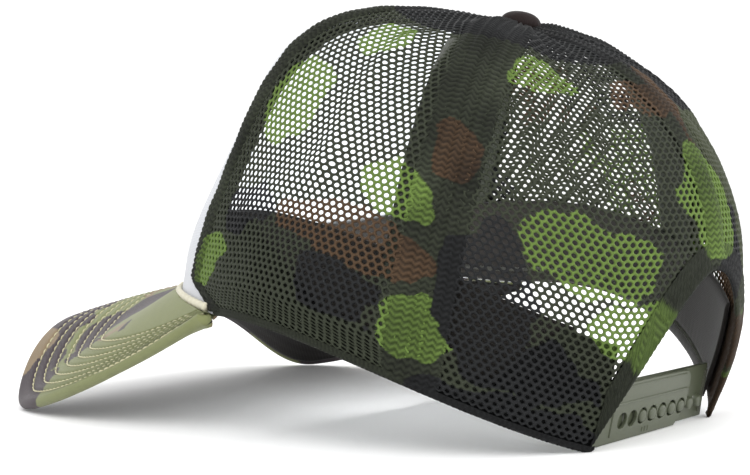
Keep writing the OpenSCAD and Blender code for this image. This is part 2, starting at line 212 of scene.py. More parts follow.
def linear(red, green, blue):
    """A colour given as it looks on a screen, from 0 to 255, as the shaders want it"""
    c = np.array([red, green, blue]) / 255
    return np.where(c < 0.04045, c / 12.92, ((c + 0.055) / 1.055) ** 2.4)


GREEN, OLIVE = linear(86, 107, 50), linear(56, 61, 44)
BROWN, BLACK = linear(68, 52, 37), linear(27, 28, 29)
SHADE = linear(45, 49, 38)

# Patches on the wearer's left: place and half sizes, in steps of ten degrees and of a tenth
# of the height, and colour
PATCHES = [
    (-2, 4, 1, 1, GREEN), (-1, 6, 1, 0.5, GREEN), (2, 3, 1, 0.5, GREEN), (1, 2, 2, 0.5, BROWN),
    (-2, 2, 1, 0.5, BLACK), (1, 1, 1, 0.5, BLACK), (-3, 1, 0.5, 0.5, GREEN), (3, 1, 1, 0.5, GREEN),
    (3, 4, 0.5, 0.5, BROWN), (4, 2, 1, 1, BLACK), (6, 3, 1.5, 0.5, GREEN), (7, 2, 1, 0.5, GREEN),
    (5, 1, 1.5, 0.5, BLACK), (5, 0, 2, 0.5, BLACK), (9, 4, 1, 1, GREEN), (5, 6, 1, 0.5, GREEN),
    (8, 6, 1, 0.5, BROWN),
]


def camouflage(points, sizes=(30, 9), tones=(OLIVE, GREEN, BROWN, BLACK), seed=5):
    """Large patches of four colours"""
    big, small = sizes

    def field(n):
        return noise(points, big, seed + n) + 0.35 * noise(points, small, seed + 10 + n)

    base, second, third, fourth = tones
    colour = np.broadcast_to(base, points.shape).copy()
    for n, (tone, level) in enumerate(((second, 0.72), (third, 0.78), (fourth, 0.76))):
        colour[field(n) > level] = tone
    return colour


def crown_colour(a, t, points):
    """Camouflage of the mesh, with the patches of the wearer's left laid over it"""
    colour = camouflage(points)
    a = leaned(a, t)
    wobble_a = 5 * (noise(points, 11, 41) - 0.5) + 2 * (noise(points, 4, 42) - 0.5)
    wobble_t = 0.05 * (noise(points, 12, 43) - 0.5) + 0.02 * (noise(points, 4, 44) - 0.5)
    covered = (a > -40) & (a < 90)
    colour[covered & (t < 0.7)] = SHADE
    for column, row, wide, high, tone in PATCHES:
        patch_a, patch_t, half_a, half_t = 10 * column, 0.1 * row, 10 * wide, 0.1 * high
        reach = ((a + wobble_a - patch_a) / half_a) ** 2 + ((t + wobble_t - patch_t) / half_t) ** 2
        colour[reach < 1] = tone
    return colour


# ---- meshes
def quads(columns, rows, first=0):
    """Faces of a grid whose columns go round to the left, seen from outside, and rows up"""
    i, j = np.meshgrid(np.arange(columns - 1), np.arange(rows - 1), indexing="ij")
    n = first + i * rows + j
    return np.stack([n, n + rows, n + rows + 1, n + 1], -1).reshape(-1, 4)


def slab(outer, inner):
    """Points and faces of a closed solid between two grids"""
    columns, rows = outer.shape[:2]
    count = columns * rows
    i, j = np.arange(columns - 1), np.arange(rows - 1)
    last = (columns - 1) * rows
    faces = [
        quads(columns, rows),
        quads(columns, rows, count)[:, ::-1],
        np.stack([j + 1, j + 1 + count, j + count, j], -1),
        np.stack([last + j, last + j + count, last + j + 1 + count, last + j + 1], -1),
        np.stack([i * rows, i * rows + count, (i + 1) * rows + count, (i + 1) * rows], -1),
        np.stack([(i + 1) * rows, (i + 1) * rows + count, i * rows + count, i * rows], -1)
        + rows - 1,
    ]
    return np.concatenate([outer.reshape(-1, 3), inner.reshape(-1, 3)]), np.concatenate(faces)


def tubes(paths, normals, radius, sides=6, flat=1.0):
    """Points and faces of closed tubes along paths that have the same number of points"""
    paths, normals = np.asarray(paths, float), np.asarray(normals, float)
    radius = np.broadcast_to(np.asarray(radius, float), paths.shape[:2])
    along = unit(np.gradient(paths, axis=1))
    side = unit(np.cross(along, normals))
    angle = np.arange(sides) * 2 * np.pi / sides
    ring = (
        side[:, :, None] * np.cos(angle)[None, None, :, None]
        + unit(normals)[:, :, None] * (flat * np.sin(angle))[None, None, :, None]
    )
    points = paths[:, :, None] + ring * radius[:, :, None, None]
    count, rings = paths.shape[:2]
    one = []
    for r in range(rings - 1):
        for s in range(sides):
            n, m = r * sides + s, r * sides + (s + 1) % sides
            one.append((n, n + sides, m + sides, m))
    caps = [tuple(range(sides)), tuple(range((rings - 1) * sides, rings * sides))[::-1]]
    faces = []
    for k in range(count):
        first = k * rings * sides
        faces += [tuple(first + n for n in face) for face in one + caps]
    return points.reshape(-1, 3), faces


def piece(name, points, faces, finish, slot, body="crown", replaces=(), tint=None, grain=None):
    """A mesh in the row frame that rides on a body, with its colour and cloth directions"""
    mesh = bpy.data.meshes.new(name)
    mesh.from_pydata((np.asarray(points) * MM).tolist(), [], [tuple(f) for f in faces])
    mesh.validate()
    mesh.shade_smooth()
    if tint is not None:
        colour = mesh.attributes.new("tint", "FLOAT_COLOR", "POINT")
        rgba = np.concatenate([np.asarray(tint), np.ones((len(tint), 1))], 1)
        colour.data.foreach_set("color", rgba.astype(np.float32).ravel())
    if grain is not None:
        lie = mesh.attributes.new("grain", "FLOAT_VECTOR", "POINT")
        flat = np.concatenate([np.asarray(grain), np.zeros((len(grain), 1))], 1)
        lie.data.foreach_set("vector", flat.astype(np.float32).ravel())
    mesh.materials.append(finish)
    made = bpy.data.objects.new(name, mesh)
    bpy.context.scene.collection.objects.link(made)
    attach(made, body)
    if replaces:
        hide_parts(*replaces)
    return made


def lengths(grid):
    """The longest way across and along a grid of points, and its area, in metres"""
    across = np.linalg.norm(np.diff(grid, axis=0), axis=-1).sum(0).max()
    along = np.linalg.norm(np.diff(grid, axis=1), axis=-1).sum(1).max()
    d1 = grid[1:, 1:] - grid[:-1, :-1]
    d2 = grid[:-1, 1:] - grid[1:, :-1]
    area = np.linalg.norm(np.cross(d1, d2), axis=-1).sum() / 2
    return across * MM, along * MM, area * MM * MM


def declare_sheet(size):
    """Takes a piece's flat width, length and area in metres and bounds the area between 0.3 and 1
    times width times length; nothing is kept or returned
    """
    width, length, area = size
    area = min(max(area, 0.3 * width * length), width * length)


def doubled(values):
    """The values of a grid's points, for both faces of a slab"""
    return np.concatenate([values.reshape(-1, values.shape[-1])] * 2)


# ---- materials
def new_material(name):
    made = bpy.data.materials.new(name)
    made.use_nodes = True
    tree = made.node_tree
    return made, tree, tree.nodes["Principled BSDF"]


def link(tree, out, into):
    tree.links.new(out, into)


def add(tree, kind, **inputs):
    node = tree.nodes.new(kind)
    for name, value in inputs.items():
        node.inputs[name].default_value = value
    return node


def noise_node(tree, scale, detail=3.0):
    place = tree.nodes.new("ShaderNodeTexCoord")
    made = add(tree, "ShaderNodeTexNoise", Scale=scale, Detail=detail)
    link(tree, place.outputs["Object"], made.inputs["Vector"])
    return made.outputs["Fac"]


def wave_node(tree, axis, period):
    """Bands across the cloth, this far apart in millimetres"""
    lie = tree.nodes.new("ShaderNodeAttribute")
    lie.attribute_name = "grain"
    made = tree.nodes.new("ShaderNodeTexWave")
    made.bands_direction = axis
    made.inputs["Scale"].default_value = math.pi / 10 / period
    made.inputs["Distortion"].default_value = 0.25
    link(tree, lie.outputs["Vector"], made.inputs["Vector"])
    return made.outputs["Fac"]


def between(tree, value, low, high):
    """value, from 0 to 1, spread from low to high"""
    node = tree.nodes.new("ShaderNodeMapRange")
    node.inputs["To Min"].default_value = low
    node.inputs["To Max"].default_value = high
    link(tree, value, node.inputs["Value"])
    return node.outputs["Result"]


def times(tree, colour, value):
    node = tree.nodes.new("ShaderNodeVectorMath")
    node.operation = "SCALE"
    link(tree, colour, node.inputs[0])
    link(tree, value, node.inputs["Scale"])
    return node.outputs["Vector"]


def finish(name, colour=None, rough=(0.7, 0.9), mottle=(0.85, 1.1), mottle_scale=600,
           weave=None, depth=0.1, sheen=0.0, specular=0.4, metallic=0.0):
    """A material: one colour, or the mesh's own tint, with mottle, weave and bump from nodes.
    weave is (period across, period along) in millimetres."""
    made, tree, shader = new_material(name)
    if colour is None:
        source = tree.nodes.new("ShaderNodeAttribute")
        source.attribute_name = "tint"
        base = source.outputs["Color"]
    else:
        source = tree.nodes.new("ShaderNodeRGB")
        source.outputs[0].default_value = (*colour, 1)
        base = source.outputs[0]
    coarse, fine = noise_node(tree, mottle_scale / 6, 2), noise_node(tree, mottle_scale, 3)
    base = times(tree, base, between(tree, coarse, *mottle))
    base = times(tree, base, between(tree, fine, *mottle))
    height = fine
    if weave:
        rows = wave_node(tree, "X", weave[0])
        lines = wave_node(tree, "Y", weave[1])
        cross = tree.nodes.new("ShaderNodeMath")
        cross.operation = "MULTIPLY"
        link(tree, rows, cross.inputs[0])
        link(tree, lines, cross.inputs[1])
        height = cross.outputs[0]
        # Painted shade: the weave's hollows are darker and its crossings lighter, from the same
        # heights that drive the bump
        base = times(tree, base, between(tree, height, 0.82, 1.08))
    link(tree, base, shader.inputs["Base Color"])
    link(tree, between(tree, fine, *rough), shader.inputs["Roughness"])
    bump = tree.nodes.new("ShaderNodeBump")
    bump.inputs["Strength"].default_value = 0.6
    bump.inputs["Distance"].default_value = depth * MM
    link(tree, height, bump.inputs["Height"])
    link(tree, bump.outputs["Normal"], shader.inputs["Normal"])
    shader.inputs["Sheen Weight"].default_value = sheen
    shader.inputs["Sheen Roughness"].default_value = 0.5
    shader.inputs["Specular IOR Level"].default_value = specular
    shader.inputs["Metallic"].default_value = metallic
    return made


CAMO_KNIT = finish("camo_knit", rough=(0.42, 0.7), mottle=(0.7, 1.25), mottle_scale=2600,
                   depth=0.15, sheen=0.02, specular=0.12)
CAMO_FOLD = finish("camo_fold", rough=(0.5, 0.8), mottle=(0.65, 1.25), mottle_scale=2200,
                   depth=0.18, sheen=0.02, specular=0.12)
CAMO_TWILL = finish("camo_twill", rough=(0.7, 0.9), mottle=(0.88, 1.1), mottle_scale=1500,
                    weave=(0.8, 0.5), depth=0.08, sheen=0.15, specular=0.25)
WHITE_CLOTH = finish("white_cloth", linear(196, 198, 203), rough=(0.7, 0.9),
                     mottle=(0.96, 1.02), mottle_scale=900, weave=(0.7, 0.5), depth=0.06, sheen=0.2)
FOAM = finish("foam", linear(242, 246, 250), rough=(0.85, 1.0), mottle=(0.94, 1.03),
              mottle_scale=1400, depth=0.25)
SEAM_TAPE = finish("seam_tape", linear(46, 50, 38), rough=(0.6, 0.85), mottle=(0.75, 1.15),
                   mottle_scale=1500, weave=(0.6, 0.6), depth=0.1, sheen=0.15)
BAND_CLOTH = finish("sweatband_cloth", linear(37, 33, 29), rough=(0.75, 0.95), mottle=(0.8, 1.15),
                    mottle_scale=1300, weave=(0.7, 0.7), depth=0.12, sheen=0.3)
UNDER_CLOTH = finish("under_cloth", linear(27, 24, 23), rough=(0.7, 0.9), mottle=(0.8, 1.2),
                     mottle_scale=1300, weave=(0.8, 0.5), depth=0.08, sheen=0.1, specular=0.2)
THREAD = finish("thread", linear(185, 179, 142), rough=(0.45, 0.65), mottle=(0.8, 1.1),
                mottle_scale=2500, depth=0.08, sheen=0.2)
DARK_THREAD = finish("dark_thread", linear(73, 76, 59), rough=(0.35, 0.6), mottle=(0.7, 1.15),
                     mottle_scale=2500, depth=0.08, sheen=0.2)
PIPING = finish("piping", linear(210, 205, 181), rough=(0.65, 0.85), mottle=(0.88, 1.05),
                mottle_scale=1200, weave=(0.6, 0.6), depth=0.08, sheen=0.2)
BUTTON_CLOTH = finish("button_cloth", linear(32, 24, 23), rough=(0.6, 0.8), mottle=(0.8, 1.15),
                      mottle_scale=1500, weave=(0.6, 0.6), depth=0.08, sheen=0.02,
                      specular=0.1)
BOARD = finish("board", linear(196, 192, 180), rough=(0.6, 0.8), mottle=(0.9, 1.05),
               mottle_scale=400, depth=0.05)
METAL = finish("rivet_metal", linear(176, 176, 172), rough=(0.25, 0.45), mottle=(0.85, 1.05),
               mottle_scale=800, depth=0.02, metallic=1.0)
STRAP_PLASTIC = finish("strap_plastic", linear(78, 83, 66), rough=(0.3, 0.45), mottle=(0.93, 1.05),
                       mottle_scale=500, depth=0.03, specular=0.5)


# ---- folds in the soft mesh
# Start (direction, t), end (direction, t), half width in mm and height in mm
FOLDS = [
    ((-4, 0.62), (-2, 0.30), 6, 1.6), ((-2, 0.30), (-20, 0.19), 6, 1.2),
    ((12, 0.66), (14, 0.42), 7, -1.2), ((20, 0.20), (-10, 0.10), 9, 1.0),
    ((46, 0.86), (44, 0.52), 4, 0.9), ((54, 0.88), (56, 0.60), 4, -0.8),
    ((63, 0.88), (68, 0.62), 4, 0.8), ((40, 0.30), (70, 0.28), 9, -0.9),
    ((186, 0.62), (183, 0.3), 6, 1.3), ((160, 0.2), (190, 0.12), 9, 1.0),
    ((126, 0.86), (128, 0.55), 4, 0.8), ((112, 0.88), (114, 0.60), 4, -0.7),
    ((140, 0.3), (110, 0.28), 9, -0.8),
]
A_MM, T_MM = 1.6, 150  # about a degree and a whole t in millimetres of cloth


def folds(a, t):
    """How far the soft mesh stands out of its smooth shape, in mm"""
    a, t = np.broadcast_arrays(np.asarray(a, float), np.asarray(t, float))
    x, y = leaned(a, t) * A_MM, t * T_MM
    total = 0.5 * np.sin(x / 9 + 2 * np.sin(y / 31)) * np.sin(y / 17)
    for (a0, t0), (a1, t1), half, height in FOLDS:
        x0, y0, x1, y1 = a0 * A_MM, t0 * T_MM, a1 * A_MM, t1 * T_MM
        dx, dy = x1 - x0, y1 - y0
        s = np.clip(((x - x0) * dx + (y - y0) * dy) / (dx * dx + dy * dy), 0, 1)
        away = (x - x0 - s * dx) ** 2 + (y - y0 - s * dy) ** 2
        total = total + height * np.exp(-away / half**2)
    from_seams = np.minimum.reduce([np.abs(a - s) for s in (SEAM_A, SIDE_A, 90, 153, 202)])
    free = np.clip(from_seams / 8, 0, 1) * np.clip(t / 0.12, 0, 1) * np.clip((0.95 - t) / 0.1, 0, 1)
    lower = np.clip((t - t_at(a, arch_h(a))) / 0.08, 0, 1)
    return total * free * np.where(arch_h(a) > 0, lower, 1)


def plain(a, t, d):
    """A point of the crown, d outside its face"""
    a, t, d = np.broadcast_arrays(np.asarray(a, float), np.asarray(t, float), np.asarray(d, float))
    return crown(a, t) + crown_normal(a, t) * d[..., None]


def soft(a, t, d):
    """The same, with the folds of the soft mesh"""
    return plain(a, t, np.asarray(d, float) + folds(a, t))


# ---- knitted panels
def cloth_map(a0, a1):
    """Distances over the cloth of a panel: across from its middle line, and up from its hem"""
    angles, ts = np.linspace(a0, a1, 97), np.linspace(0, TOP_T, 161)
    grid = crown(angles[:, None], ts[None, :])
    across = np.zeros(grid.shape[:2])
    across[1:] = np.cumsum(np.linalg.norm(np.diff(grid, axis=0), axis=-1), axis=0)
    across -= across[len(angles) // 2]
    return angles, ts, across, run_along(grid[len(angles) // 2])


def to_crown(cloth, u, v):
    """Direction and t of points u across and v up the cloth, and which are on the panel"""
    angles, ts, across, up = cloth
    t = np.interp(v, up, ts)
    place = np.interp(v, up, np.arange(len(ts)))
    a, on = np.empty(len(u)), np.zeros(len(u), bool)
    levels = np.round(v, 3)
    for level in np.unique(levels):
        here = levels == level
        j = min(int(place[here][0]), len(ts) - 2)
        f = place[here][0] - j
        row = across[:, j] * (1 - f) + across[:, j + 1] * f
        a[here] = np.interp(u[here], row, angles)
        on[here] = (u[here] > row[0]) & (u[here] < row[-1])
    return a, t, on & (v >= 0) & (v <= up[-1])


def cell_outline():
    """The twelve points round one cell of the knit: its six corners and the points between"""
    low = (ROW_UP**2 - HOLE_ACROSS**2 / 4) / (2 * ROW_UP)
    high = (HOLE_ACROSS**2 / 4 + ROW_UP**2) / (2 * ROW_UP)
    half = HOLE_ACROSS / 2
    quarter = [(half, 0), (half, low), (half / 2, (low + high) / 2)]
    mirrored = [(-x, y) for x, y in quarter[::-1]]
    upper = quarter + [(0, high)] + mirrored[:-1]
    return np.array(upper + [(-x, -y) for x, y in upper])


def openness(a, t):
    """How far the knit's holes stand open: they are pulled nearly shut low at the
    front, and a little by the hem"""
    f = np.degrees(np.arcsin(sind(a)))
    front = 1 / (1 + np.exp((f + 9 + 30 * (t - 0.1)) / 4))
    low = 1 / (1 + np.exp((t - 0.2) / 0.02))
    hem = 1 / (1 + np.exp((t - t_at(a, arch_h(a)) - 0.1) / 0.02))
    return (1 - 0.5 * front * low) * (1 - 0.25 * hem)


def knit_panel(name, a0, a1, node):
    """Mesh cloth with real holes, its threads rounded on the outside"""
    cloth = cloth_map(a0, a1)
    across, up = cloth[2], cloth[3]
    outline = cell_outline()
    columns = int(np.abs(across).max() / HOLE_ACROSS) + 1
    rows = int(up[-1] / ROW_UP)
    i, j = np.meshgrid(np.arange(-columns, columns + 1), np.arange(rows), indexing="ij")
    centres = np.stack([(i + 0.5 * (j % 2)) * HOLE_ACROSS, (j + 0.9) * ROW_UP], -1).reshape(-1, 2)
    corners = centres[:, None] + outline[None]
    a, t, on = to_crown(cloth, corners[..., 0].ravel(), corners[..., 1].ravel())
    above = t >= t_at(a, arch_h(a) + 0.5)
    kept = (on & above).reshape(-1, len(outline)).all(1)
    centres, corners = centres[kept], corners[kept]
    keys, index = np.unique(np.round(corners.reshape(-1, 2) * 1000).astype(int), axis=0,
                            return_inverse=True)
    index = index.reshape(-1, len(outline))
    ridge = keys / 1000
    bearing = np.arctan2(outline[:, 1] / HOLE_HALF_H, outline[:, 0] / HOLE_HALF_W)
    hole = np.stack([HOLE_HALF_W * np.cos(bearing), HOLE_HALF_H * np.sin(bearing)], -1)
    at_a, at_t, _ = to_crown(cloth, centres[:, 0], centres[:, 1])
    holes = hole[None] * openness(at_a, at_t)[:, None, None]
    rim = (centres[:, None] + holes).reshape(-1, 2)
    shoulder = (centres[:, None] + holes * 0.45 + outline[None] * 0.55).reshape(-1, 2)
    levels = [(ridge, 0.05), (ridge, -MESH_T + 0.05), (shoulder, -0.06), (rim, -MESH_T / 2)]
    uv = np.concatenate([p for p, _ in levels])
    depth = np.concatenate([np.full(len(p), d) for p, d in levels])
    a, t, _ = to_crown(cloth, uv[:, 0], uv[:, 1])
    points = plain(a, t, 0)
    wander = 0.22 * (noise(points, 1.7, 71) - 0.5) + 0.16 * (noise(points, 0.8, 72) - 0.5)
    points = soft(a, t, depth + wander)
    n_ridge, n_rim = len(ridge), len(rim)
    top, bottom = index, index + n_ridge
    cell = np.arange(len(centres))[:, None] * len(outline) + np.arange(len(outline))
    shoulders, rims = cell + 2 * n_ridge, cell + 2 * n_ridge + n_rim

    def band(one, two):
        one_next, two_next = np.roll(one, -1, 1), np.roll(two, -1, 1)
        return np.stack([one, one_next, two_next, two], -1).reshape(-1, 4)

    faces = np.concatenate([band(top, shoulders), band(shoulders, rims), band(rims, bottom)])
    edges = np.stack([top, np.roll(top, -1, 1)], -1).reshape(-1, 2)
    order = np.sort(edges, axis=1)
    _, where, uses = np.unique(order, axis=0, return_index=True, return_counts=True)
    lone = edges[where[uses == 1]]
    walls = np.stack([lone[:, 1], lone[:, 0], lone[:, 0] + n_ridge, lone[:, 1] + n_ridge], -1)
    made = piece(name, points, np.concatenate([faces, walls]), CAMO_KNIT, "camo_mesh",
                 replaces=[node], tint=crown_colour(a, t, points), grain=uv)
    width, length = float(np.ptp(across)) * MM, up[-1] * MM
    net = len(centres) * (HOLE_ACROSS * ROW_UP - math.pi * HOLE_HALF_W * HOLE_HALF_H) * MM * MM
    declare_sheet((width, length, net))


# ---- dense folds of mesh
def knit_relief(u, v):
    """Zigzag ribs, from -1 to 1, of mesh that lies double: u across them and v along, in mm"""
    zig = np.abs((u / HOLE_ACROSS) % 1 - 0.5) * 2
    return np.sin(2 * np.pi * (v - 1.1 * zig) / ROW_UP)


def dense_strip(name, centres, ts, width, lift, pleats, seed, colour_share=1.0):
    """Folded seam allowance of mesh along a seam: centres are its directions at ts.
    pleats is (number across, height in mm)."""
    count = 41
    across = np.linspace(-1, 1, count)
    speed = np.linalg.norm(crown(centres + 0.5, ts) - crown(centres - 0.5, ts), axis=-1)
    half_a = np.minimum(width / 2 / np.maximum(speed, 1e-6), 24)
    a = centres[None, :] + across[:, None] * half_a[None, :]
    t = np.broadcast_to(ts[None, :], a.shape)
    along = run_along(crown(centres, ts))
    u = across[:, None] * width / 2 + 0 * along[None, :]
    v = np.broadcast_to(along[None, :], a.shape)
    flat_points = plain(a, t, 0)
    ribs = knit_relief(u, v + 1.5 * (noise(flat_points, 9, seed) - 0.5))
    folds_over = pleats[1] * np.cos(across * np.pi * pleats[0])[:, None]
    crumple = 0.7 * (noise(flat_points, 7, seed + 1) - 0.5)
    height = lift * (1 - across**6)[:, None] + folds_over * (1 - across**4)[:, None]
    height = height + 0.26 * ribs + crumple - 0.25
    outer = soft(a, t, height)
    inner = soft(a, t, -0.3 + 0 * a)
    # Painted shade between the ribs: darker in their grooves and lighter on their crests, times a
    # tone that varies at random along the strip
    shade = np.clip(0.72 + 0.35 * ribs, 0.3, 1.1) * (0.45 + 1.1 * noise(flat_points, 14, seed + 2))
    tint = crown_colour(a, t, flat_points) * (colour_share * shade)[..., None]
    made = piece(name, *slab(outer, inner), CAMO_FOLD, "camo_mesh", tint=doubled(tint),
                 grain=doubled(np.stack([u, v], -1)))
    declare_sheet(lengths(outer))


def edge_fold(name, a, low_h, out_h, in_h, out_d, in_d, share=1.0, replaces=(), slot="camo_mesh"):
    """A strip folded over the crown's lower edge: at each of the directions a, up the outside
    by out_h and up the inside by in_h"""
    inside = np.linspace(-1, -0.05, 34)[None, :] * (in_h + 0 * a)[:, None]
    turned = np.broadcast_to([-0.3, 0, 0.3], (len(a), 3))
    outside = 0.6 + np.linspace(0, 1, 14)[None, :] * (out_h - 0.6 + 0 * a)[:, None]
    rows = np.concatenate([inside, turned, outside], 1)
    turn = np.exp(-(rows / 0.5) ** 2)
    d = np.where(rows > 0, out_d, in_d)
    d = d * (1 - turn) + (out_d + in_d) / 2 * turn
    aa = np.broadcast_to(a[:, None], rows.shape)
    hh = low_h[:, None] + np.abs(rows)
    t = t_at(aa, hh)
    base = plain(aa, t, 0)
    along = run_along(base[:, 0])
    u = np.broadcast_to(along[:, None], aa.shape)
    v = rows
    ribs = knit_relief(v, u)
    crumple = 0.5 * (noise(base, 6, 91) - 0.5)
    outward = np.where(v > 0, 1, -1)
    points = soft(aa, t, d + outward * (0.2 * ribs + crumple * 0.5))
    points[..., 2] -= turn * 0.5
    shade = np.clip(0.7 + 0.3 * ribs, 0.3, 1.1)[..., None]
    tint = crown_colour(aa, t, base) * share * shade
    made = piece(name, points.reshape(-1, 3), quads(*points.shape[:2]), CAMO_FOLD, slot,
                 replaces=replaces, tint=tint.reshape(-1, 3),
                 grain=np.stack([u, v], -1).reshape(-1, 2))
    declare_sheet(lengths(points))


# Name, sign and start of the directions on each side
SIDES = (("left", 1, 0), ("right", -1, 180))


def make_mesh_panels():
    gap = 0.4
    knit_panel("left_side_mesh_cloth", SEAM_A + gap, SIDE_A - gap, "left_side_mesh")
    knit_panel("left_rear_mesh_cloth", SIDE_A + gap, 90 - gap, "left_rear_mesh")
    knit_panel("right_side_mesh_cloth", 180 - SIDE_A + gap, 180 - SEAM_A - gap, "right_side_mesh")
    knit_panel("right_rear_mesh_cloth", 90 + gap, 180 - SIDE_A - gap, "right_rear_mesh")


def make_seam_folds():
    ts = np.linspace(0.004, TOP_T, 420)
    for side, sign, start in SIDES:
        front = np.full(len(ts), start + sign * (SEAM_A + 1.5))
        dense_strip(f"{side}_front_seam_fold", front, ts, 9.5, 0.9, (0.5, 0.2), 101 + sign, 0.8)
        seam = np.full(len(ts), start + sign * (SIDE_A + 3.0))
        dense_strip(f"{side}_side_seam_fold", seam, ts, 19, 0.75, (5, 0.4), 111 + sign, 0.85)
    rear_ts = np.linspace(float(t_at(90, OPENING_H + 1)), TOP_T, 300)
    dense_strip("rear_seam_fold", np.full(len(rear_ts), 90.0), rear_ts, 11, 0.9, (1, 0.4), 121, 0.8)


def make_edges():
    s = np.linspace(0, 180, 181)
    arch = 90 - (90 - CORNER_A) * cosd(s)
    pace = np.linalg.norm(np.gradient(crown(arch, 0 * arch), axis=0), axis=-1)
    steep = np.gradient(arch_h(arch)) / pace
    width = 8 * np.minimum(np.sqrt(1 + steep**2), 2.6)
    edge_fold("opening_edge_fold", arch, arch_h(arch), width, width * 0.9, 0.35, -1.4, 0.75,
              replaces=["opening_binding"], slot="seam_tape")
    left = np.linspace(SEAM_A + 0.5, CORNER_A + 1, 200)
    turned_in = 11 + 22 * np.clip((14 - left) / 22, 0, 1) + 24 * np.clip((left - 44) / 12, 0, 1)
    edge_fold("left_hem_fold", left, 0 * left, 2.2, turned_in, 0.3, -1.2, 0.8)
    edge_fold("right_hem_fold", 180 - left[::-1], 0 * left, 2.2, turned_in[::-1], 0.3, -1.2, 0.8)


# ---- tapes inside the seams
def make_tape(name, a, width, t0, depth):
    ts = np.linspace(t0, TOP_T, 90)
    far = np.linalg.norm(crown(np.full(len(ts), a), ts) - AXIS_TOP - SHIFT, axis=-1)
    half_a = width / 2 * 57.3 / np.maximum(far, width)
    across = np.linspace(-1, 1, 13)
    aa = a + across[:, None] * half_a[None, :]
    t = np.broadcast_to(ts[None, :], aa.shape)
    ripple = 0.15 * np.sin(ts * 190)[None, :] * np.abs(across[:, None]) ** 3
    outer, inner = plain(aa, t, depth + ripple), plain(aa, t, depth - TAPE_T + ripple)
    grain = np.stack([across[:, None] * width / 2 + 0 * t, t * T_MM], -1)
    made = piece(name + "_cloth", *slab(outer, inner), SEAM_TAPE, "seam_tape", replaces=[name],
                 grain=doubled(grain))
    declare_sheet(lengths(outer))


def make_tapes():
    low = 0.01
    seams = (("front", SEAM_A, 12, FRONT_TAPE_D), ("side", SIDE_A, 20, SIDE_TAPE_D))
    for part, at, width, depth in seams:
        for side, sign, start in SIDES:
            make_tape(f"{side}_{part}_seam_tape", start + sign * at, width, low, depth)
    make_tape("rear_centre_seam_tape", 90, 12, float(t_at(90, OPENING_H + 9)), SIDE_TAPE_D)


# ---- front panel
def make_front():
    a = np.linspace(-180 - SEAM_A, SEAM_A, 151)[:, None]
    t = np.linspace(0, TOP_T, 111)[None, :]
    a, t = np.broadcast_arrays(a, t)
    base = plain(a, t, 0)
    dents = 0.5 * (noise(base, 38, 201) - 0.5) + 0.25 * (noise(base, 14, 202) - 0.5)
    grain = doubled(np.stack([a * A_MM, t * T_MM], -1))
    outer, inner = plain(a, t, dents), plain(a, t, dents - FACE_T)
    made = piece("front_panel_cloth", *slab(outer, inner), WHITE_CLOTH, "white_cloth",
                 replaces=["front_panel_face"], grain=grain)
    declare_sheet(lengths(outer))
    outer = plain(a, t, dents - FACE_T - GLUE_GAP)
    cells = 0.22 * (noise(base, 1.6, 203) - 0.5)
    inner = plain(a, t, dents - FACE_T - GLUE_GAP - FOAM_T + cells)
    pad = piece("front_panel_foam_pad", *slab(outer, inner), FOAM, "foam",
                replaces=["front_panel_foam"], grain=grain)


# ---- sweatband
BAND_END_A = CORNER_A - 7


def band_depth(a):
    f = np.clip((np.abs(a + 90) - 68) / 12, 0, 1)
    front = FRONT_TAPE_D - TAPE_T - BAND_GAP
    side = SIDE_TAPE_D - 0.2 - TAPE_T - BAND_GAP
    return front * (1 - f) + side * f


def make_sweatband():
    angles = np.linspace(-180 - BAND_END_A, BAND_END_A, 361)
    heights = np.linspace(1, BAND_H, 37)
    a, h = np.broadcast_arrays(angles[:, None], heights[None, :])
    t = t_at(a, h)
    base = plain(a, t, 0)
    edge = np.clip(np.minimum(h - 1, BAND_H - h) / 2.5, 0, 1)
    seam = 0.35 * np.exp(-((h - 6.5) / 1.1) ** 2)
    puckers = 0.3 * np.sin(a * 3.1 + 3 * noise(base, 11, 301)) * np.exp(-((h - 8) / 6) ** 2)
    ripples = 0.5 * (noise(base, 13, 302) - 0.5)
    depth = band_depth(a)
    thick = BAND_T * (0.45 + 0.55 * np.sqrt(edge))
    outer = plain(a, t, depth + 0.3 * ripples)
    inner = plain(a, t, depth - thick + seam + 0.4 * puckers + 0.5 * ripples)
    grain = doubled(np.stack([a * A_MM, h], -1))
    made = piece("sweatband_cloth", *slab(outer, inner), BAND_CLOTH, "sweatband_cloth",
                 replaces=["sweatband"], grain=grain)
    declare_sheet(lengths(outer))
    count = 900
    aa = np.linspace(-180 - BAND_END_A, BAND_END_A, count)
    hh = 6.4 + 0.8 * (np.arange(count) % 2 * 2 - 1)
    tt = t_at(aa, hh)
    depth = band_depth(aa) - BAND_T + 0.1
    path = plain(aa, tt, depth)
    piece("sweatband_thread", *tubes(path[None], -crown_normal(aa, tt)[None], 0.22, 5), DARK_THREAD,
          "dark_thread", replaces=["sweatband_stitching"])


# ---- visor
VISOR_Y = float(hem_y(SEAM_A))
VISOR_Z = float(side_z(VISOR_Y))
REST_Z = BOARD_T / 2 + COVER_T - REST_SINK
CORNER_SHARE = float(cosd(RIM_CORNER)) ** (2 / VISOR_EXP)


def rim_point(q):
    """The visor's outline: q goes from one end (-1) over the tip (0) to the other end (1)"""
    x = VISOR_HALF_W * signed_power(sind(90 * q), 2 / VISOR_EXP)
    reach = np.abs(cosd(90 * q)) ** (2 / VISOR_EXP)
    away = np.clip(1 - reach / CORNER_SHARE, 0, 1)
    fall = np.where(np.abs(90 * q) < RIM_CORNER, 0, (VISOR_Z - REST_Z) * away**RIM_FALL_EXP)
    arch = np.where(np.abs(90 * q) > RIM_CORNER, 0,
                    (VISOR_TIP_H - REST_Z) * cosd(90 * 90 * q / RIM_CORNER) ** 2)
    return np.stack([x, VISOR_Y - VISOR_LEN * reach, REST_Z + fall + arch], -1)


def root_point(q):
    a = -90 + (90 + SEAM_A) * q
    down = np.array([0, 0, ROOT_CLEAR])
    return crown(a, 0) - SHIFT + crown_normal(a, 0 * a) * ROOT_CLEAR - down


